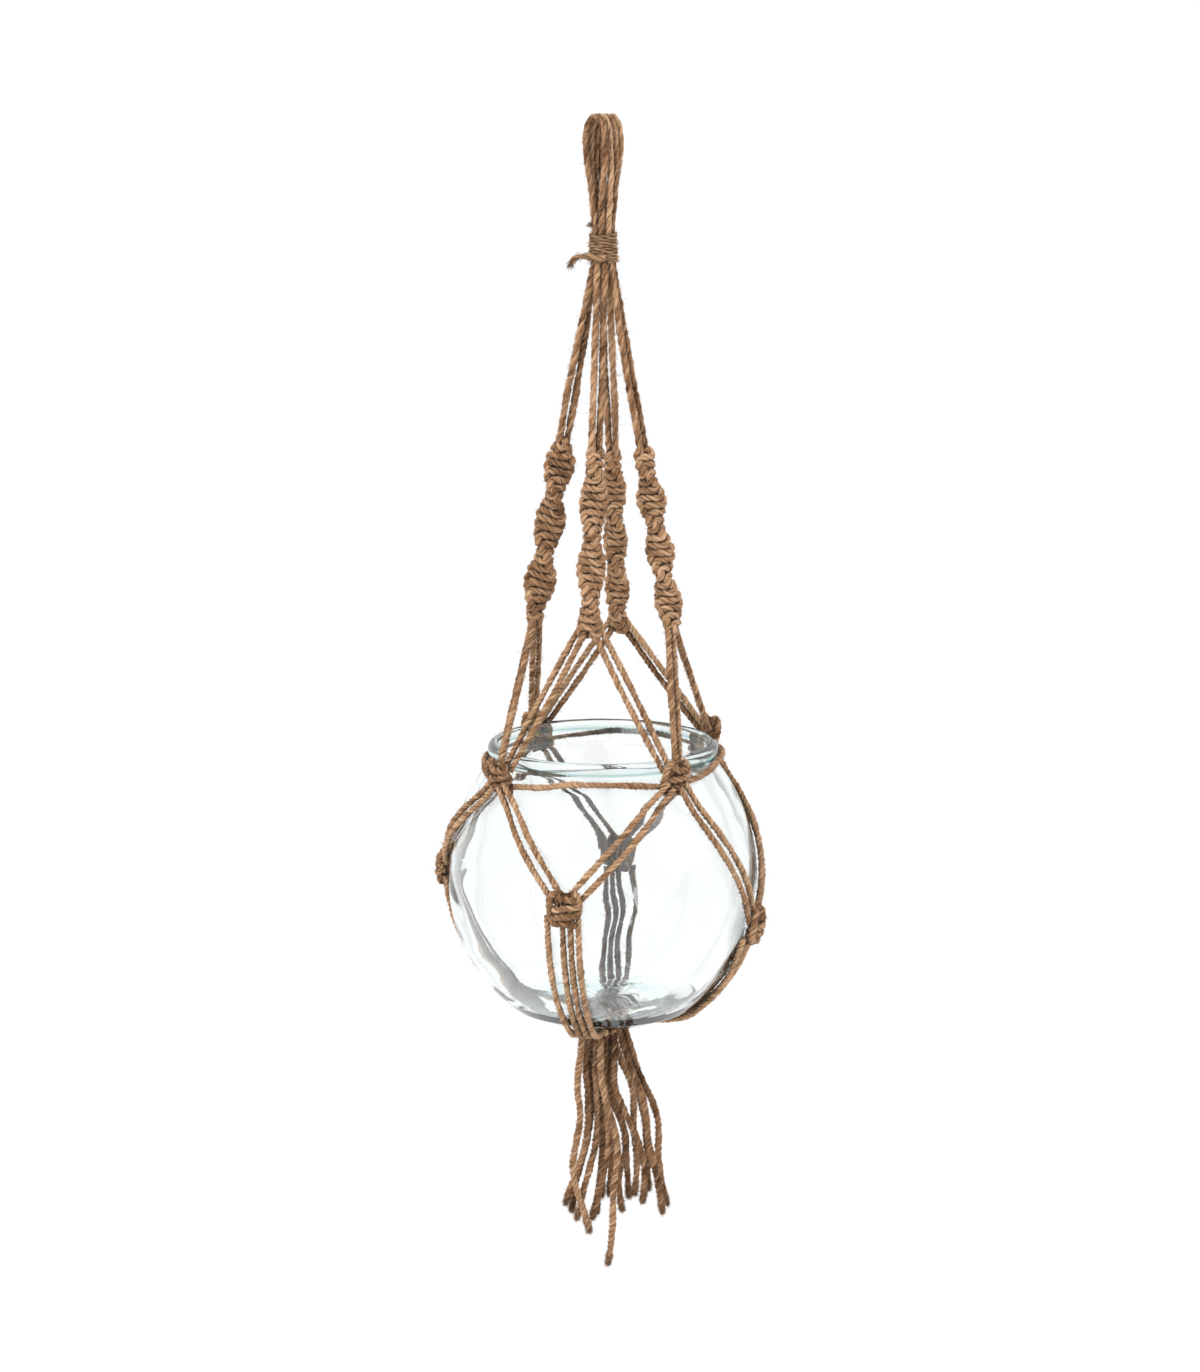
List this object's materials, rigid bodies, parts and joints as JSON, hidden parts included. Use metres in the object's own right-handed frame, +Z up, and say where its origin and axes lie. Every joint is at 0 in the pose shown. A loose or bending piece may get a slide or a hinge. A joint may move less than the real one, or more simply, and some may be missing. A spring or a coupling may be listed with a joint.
{
  "type": "hanging macrame planter",
  "caption": "Hanging planter: a clear glass bowl held in a knotted jute cord net with spiral sennits, a wrapped hanging loop and a cut tassel.",
  "frame": {"origin": "the hook's seat: the middle of the underside of the hanging loop's fold, on the planter's axis", "axes": "+Z up, +X to the right and +Y to the back as the planter hangs, seen from its front"},
  "size_m": [0.1978, 0.2025, 0.6865],
  "materials": {
    "jute": "twisted three-ply jute cord, dull and hairy",
    "twine": "fine jute twine, wound tightly",
    "glass": "clear, slightly green recycled glass with faint waves and seeds"
  },
  "bodies": {
    "hanging_loop": {"loop_cord_1": "jute", "loop_cord_2": "jute", "loop_cord_3": "jute", "loop_cord_4": "jute"},
    "wrap": {"top_wrap": "twine"},
    "net": {"belly_knot_back": "jute", "belly_knot_front": "jute", "belly_knot_left": "jute", "belly_knot_right": "jute", "bottom_cords_back": "jute", "bottom_cords_front": "jute", "bottom_cords_left": "jute", "bottom_cords_right": "jute", "bottom_knot": "jute", "leg_cords_back": "jute", "leg_cords_front": "jute", "leg_cords_left": "jute", "leg_cords_right": "jute", "neck_cord": "jute", "net_back_left_to_back_belly": "jute", "net_back_left_to_left_belly": "jute", "net_back_right_to_back_belly": "jute", "net_back_right_to_right_belly": "jute", "net_back_to_back_left": "jute", "net_back_to_back_right": "jute", "net_front_left_to_front_belly": "jute", "net_front_left_to_left_belly": "jute", "net_front_right_to_front_belly": "jute", "net_front_right_to_right_belly": "jute", "net_front_to_front_left": "jute", "net_front_to_front_right": "jute", "net_left_to_back_left": "jute", "net_left_to_front_left": "jute", "net_right_to_back_right": "jute", "net_right_to_front_right": "jute", "ring_knot_back_left": "jute", "ring_knot_back_right": "jute", "ring_knot_front_left": "jute", "ring_knot_front_right": "jute", "sennit_back": "jute", "sennit_front": "jute", "sennit_left": "jute", "sennit_right": "jute"},
    "bowl": {"glass_bowl": "glass"},
    "tassel": {"tassel_cord_01": "jute", "tassel_cord_02": "jute", "tassel_cord_03": "jute", "tassel_cord_04": "jute", "tassel_cord_05": "jute", "tassel_cord_06": "jute", "tassel_cord_07": "jute", "tassel_cord_08": "jute", "tassel_cord_09": "jute", "tassel_cord_10": "jute", "tassel_cord_11": "jute", "tassel_cord_12": "jute", "tassel_cord_13": "jute", "tassel_cord_14": "jute", "tassel_cord_15": "jute", "tassel_cord_16": "jute"}
  },
  "joints": [
    {"name": "wrap_swing", "type": "hinge", "parent": "hanging_loop", "child": "wrap", "pos_m": [0, 0, -0.062], "axis": [0, 1, 0], "range_deg": [-8, 8]},
    {"name": "net_swing", "type": "hinge", "parent": "wrap", "child": "net", "pos_m": [0, 0, -0.081], "axis": [1, 0, 0], "range_deg": [-12, 12]},
    {"name": "bowl_turn", "type": "hinge", "parent": "net", "child": "bowl", "pos_m": [0, 0, -0.443], "axis": [0, 0, 1], "continuous": true},
    {"name": "tassel_swing", "type": "hinge", "parent": "net", "child": "tassel", "pos_m": [0.004, 0, -0.5365], "axis": [0, 1, 0], "range_deg": [-10, 10]}
  ]
}
